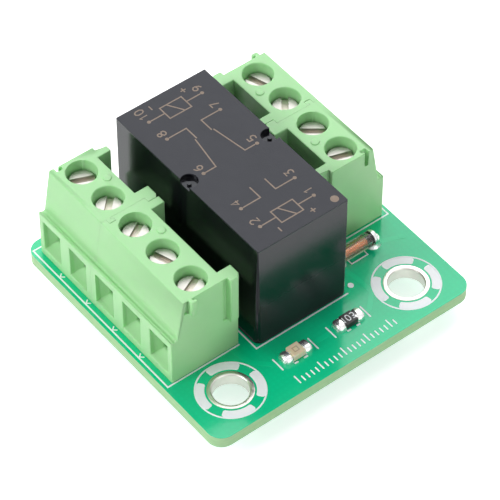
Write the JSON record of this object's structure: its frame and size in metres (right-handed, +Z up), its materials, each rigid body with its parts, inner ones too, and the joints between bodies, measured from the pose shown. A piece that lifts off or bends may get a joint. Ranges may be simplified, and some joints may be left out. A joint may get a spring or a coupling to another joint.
{
  "type": "relay module",
  "caption": "Sealed relay on a green circuit board with screw terminal rows along both long sides and fixing holes at one end; each clamp screw turns and raises its wire cage.",
  "frame": {"origin": "centre of the board in plan, at the level of the lead tips under it", "axes": "+Z up out of the board, +X along the relay towards the end with the fixing holes, +Y from the five-pole row to the four-pole row"},
  "size_m": [0.0276, 0.0278, 0.0149],
  "materials": {
    "board": "green solder mask over glass laminate, satin",
    "plating": "tinned copper",
    "terminal_housing": "light green moulded nylon, satin",
    "screw_metal": "nickel plated steel",
    "cage_metal": "nickel plated",
    "contact_metal": "tinned brass",
    "solder": "bright solder",
    "relay_case": "black moulded plastic, fine satin",
    "resin": "cast sealing resin",
    "relay_base": "moulded plastic",
    "lead_metal": "tinned copper alloy",
    "bobbin": "moulded plastic",
    "winding": "enamelled copper wire",
    "soft_iron": "annealed iron",
    "magnet": "sintered",
    "spring_metal": "copper alloy spring strip",
    "led_resin": "cast resin lens",
    "resistor_coat": "black coated ceramic",
    "tinned_ends": "tinned",
    "diode_glass": "orange glass",
    "diode_die": "metal studs and die"
  },
  "bodies": {
    "module": {"circuit_board": "board", "hole_plating": "plating", "front_block_two_pole": "terminal_housing", "front_block_three_pole": "terminal_housing", "rear_block_far": "terminal_housing", "rear_block_near": "terminal_housing", "contact_bars_front": "contact_metal", "contact_bars_rear": "contact_metal", "terminal_solder": "solder", "relay_case": "relay_case", "relay_resin": "resin", "relay_base": "relay_base", "relay_leads": "lead_metal", "relay_solder": "solder", "coil_bobbin": "bobbin", "winding_set": "winding", "winding_reset": "winding", "coil_core": "soft_iron", "pole_plates": "soft_iron", "bias_magnet": "magnet", "led_body": "led_resin", "resistor_body": "resistor_coat", "chip_ends": "tinned_ends", "chip_solder": "solder", "diode_glass": "diode_glass", "diode_caps": "tinned_ends", "diode_die": "diode_die"},
    "clamp_screw_f1": {"screw_f1": "screw_metal"},
    "clamp_cage_f1": {"cage_f1": "cage_metal"},
    "clamp_screw_f2": {"screw_f2": "screw_metal"},
    "clamp_cage_f2": {"cage_f2": "cage_metal"},
    "clamp_screw_f3": {"screw_f3": "screw_metal"},
    "clamp_cage_f3": {"cage_f3": "cage_metal"},
    "clamp_screw_f4": {"screw_f4": "screw_metal"},
    "clamp_cage_f4": {"cage_f4": "cage_metal"},
    "clamp_screw_f5": {"screw_f5": "screw_metal"},
    "clamp_cage_f5": {"cage_f5": "cage_metal"},
    "clamp_screw_r1": {"screw_r1": "screw_metal"},
    "clamp_cage_r1": {"cage_r1": "cage_metal"},
    "clamp_screw_r2": {"screw_r2": "screw_metal"},
    "clamp_cage_r2": {"cage_r2": "cage_metal"},
    "clamp_screw_r3": {"screw_r3": "screw_metal"},
    "clamp_cage_r3": {"cage_r3": "cage_metal"},
    "clamp_screw_r4": {"screw_r4": "screw_metal"},
    "clamp_cage_r4": {"cage_r4": "cage_metal"},
    "rocker": {"armature": "soft_iron", "spring_carrier": "bobbin", "contact_springs": "spring_metal"}
  },
  "joints": [
    {"name": "f1_screw_turn", "type": "hinge", "parent": "module", "child": "clamp_screw_f1", "pos_m": [-0.01067, -0.00953, 0.0112], "axis": [0, 0, -1], "range_deg": [0, 1081]},
    {"name": "f1_cage_rise", "type": "slide", "parent": "module", "child": "clamp_cage_f1", "axis": [0, 0, 1], "range_m": [0, 0.0012]},
    {"name": "f2_screw_turn", "type": "hinge", "parent": "module", "child": "clamp_screw_f2", "pos_m": [-0.00686, -0.00953, 0.0112], "axis": [0, 0, -1], "range_deg": [0, 1081]},
    {"name": "f2_cage_rise", "type": "slide", "parent": "module", "child": "clamp_cage_f2", "axis": [0, 0, 1], "range_m": [0, 0.0012]},
    {"name": "f3_screw_turn", "type": "hinge", "parent": "module", "child": "clamp_screw_f3", "pos_m": [-0.00305, -0.00953, 0.0112], "axis": [0, 0, -1], "range_deg": [0, 1081]},
    {"name": "f3_cage_rise", "type": "slide", "parent": "module", "child": "clamp_cage_f3", "axis": [0, 0, 1], "range_m": [0, 0.0012]},
    {"name": "f4_screw_turn", "type": "hinge", "parent": "module", "child": "clamp_screw_f4", "pos_m": [0.00076, -0.00953, 0.0112], "axis": [0, 0, -1], "range_deg": [0, 1081]},
    {"name": "f4_cage_rise", "type": "slide", "parent": "module", "child": "clamp_cage_f4", "axis": [0, 0, 1], "range_m": [0, 0.0012]},
    {"name": "f5_screw_turn", "type": "hinge", "parent": "module", "child": "clamp_screw_f5", "pos_m": [0.00457, -0.00953, 0.0112], "axis": [0, 0, -1], "range_deg": [0, 1081]},
    {"name": "f5_cage_rise", "type": "slide", "parent": "module", "child": "clamp_cage_f5", "axis": [0, 0, 1], "range_m": [0, 0.0012]},
    {"name": "r1_screw_turn", "type": "hinge", "parent": "module", "child": "clamp_screw_r1", "pos_m": [-0.01067, 0.00953, 0.0112], "axis": [0, 0, -1], "range_deg": [0, 1081]},
    {"name": "r1_cage_rise", "type": "slide", "parent": "module", "child": "clamp_cage_r1", "axis": [0, 0, 1], "range_m": [0, 0.0012]},
    {"name": "r2_screw_turn", "type": "hinge", "parent": "module", "child": "clamp_screw_r2", "pos_m": [-0.00686, 0.00953, 0.0112], "axis": [0, 0, -1], "range_deg": [0, 1081]},
    {"name": "r2_cage_rise", "type": "slide", "parent": "module", "child": "clamp_cage_r2", "axis": [0, 0, 1], "range_m": [0, 0.0012]},
    {"name": "r3_screw_turn", "type": "hinge", "parent": "module", "child": "clamp_screw_r3", "pos_m": [-0.00305, 0.00953, 0.0112], "axis": [0, 0, -1], "range_deg": [0, 1081]},
    {"name": "r3_cage_rise", "type": "slide", "parent": "module", "child": "clamp_cage_r3", "axis": [0, 0, 1], "range_m": [0, 0.0012]},
    {"name": "r4_screw_turn", "type": "hinge", "parent": "module", "child": "clamp_screw_r4", "pos_m": [0.00076, 0.00953, 0.0112], "axis": [0, 0, -1], "range_deg": [0, 1081]},
    {"name": "r4_cage_rise", "type": "slide", "parent": "module", "child": "clamp_cage_r4", "axis": [0, 0, 1], "range_m": [0, 0.0012]},
    {"name": "armature_rock", "type": "hinge", "parent": "module", "child": "rocker", "pos_m": [-0.00233, 0, 0.00775], "axis": [0, -1, 0], "range_deg": [0, 5]}
  ],
  "couplings": [
    {"joint": "f1_screw_turn", "follows": "f1_cage_rise", "rad_per_m": 15708},
    {"joint": "f2_screw_turn", "follows": "f2_cage_rise", "rad_per_m": 15708},
    {"joint": "f3_screw_turn", "follows": "f3_cage_rise", "rad_per_m": 15708},
    {"joint": "f4_screw_turn", "follows": "f4_cage_rise", "rad_per_m": 15708},
    {"joint": "f5_screw_turn", "follows": "f5_cage_rise", "rad_per_m": 15708},
    {"joint": "r1_screw_turn", "follows": "r1_cage_rise", "rad_per_m": 15708},
    {"joint": "r2_screw_turn", "follows": "r2_cage_rise", "rad_per_m": 15708},
    {"joint": "r3_screw_turn", "follows": "r3_cage_rise", "rad_per_m": 15708},
    {"joint": "r4_screw_turn", "follows": "r4_cage_rise", "rad_per_m": 15708}
  ]
}
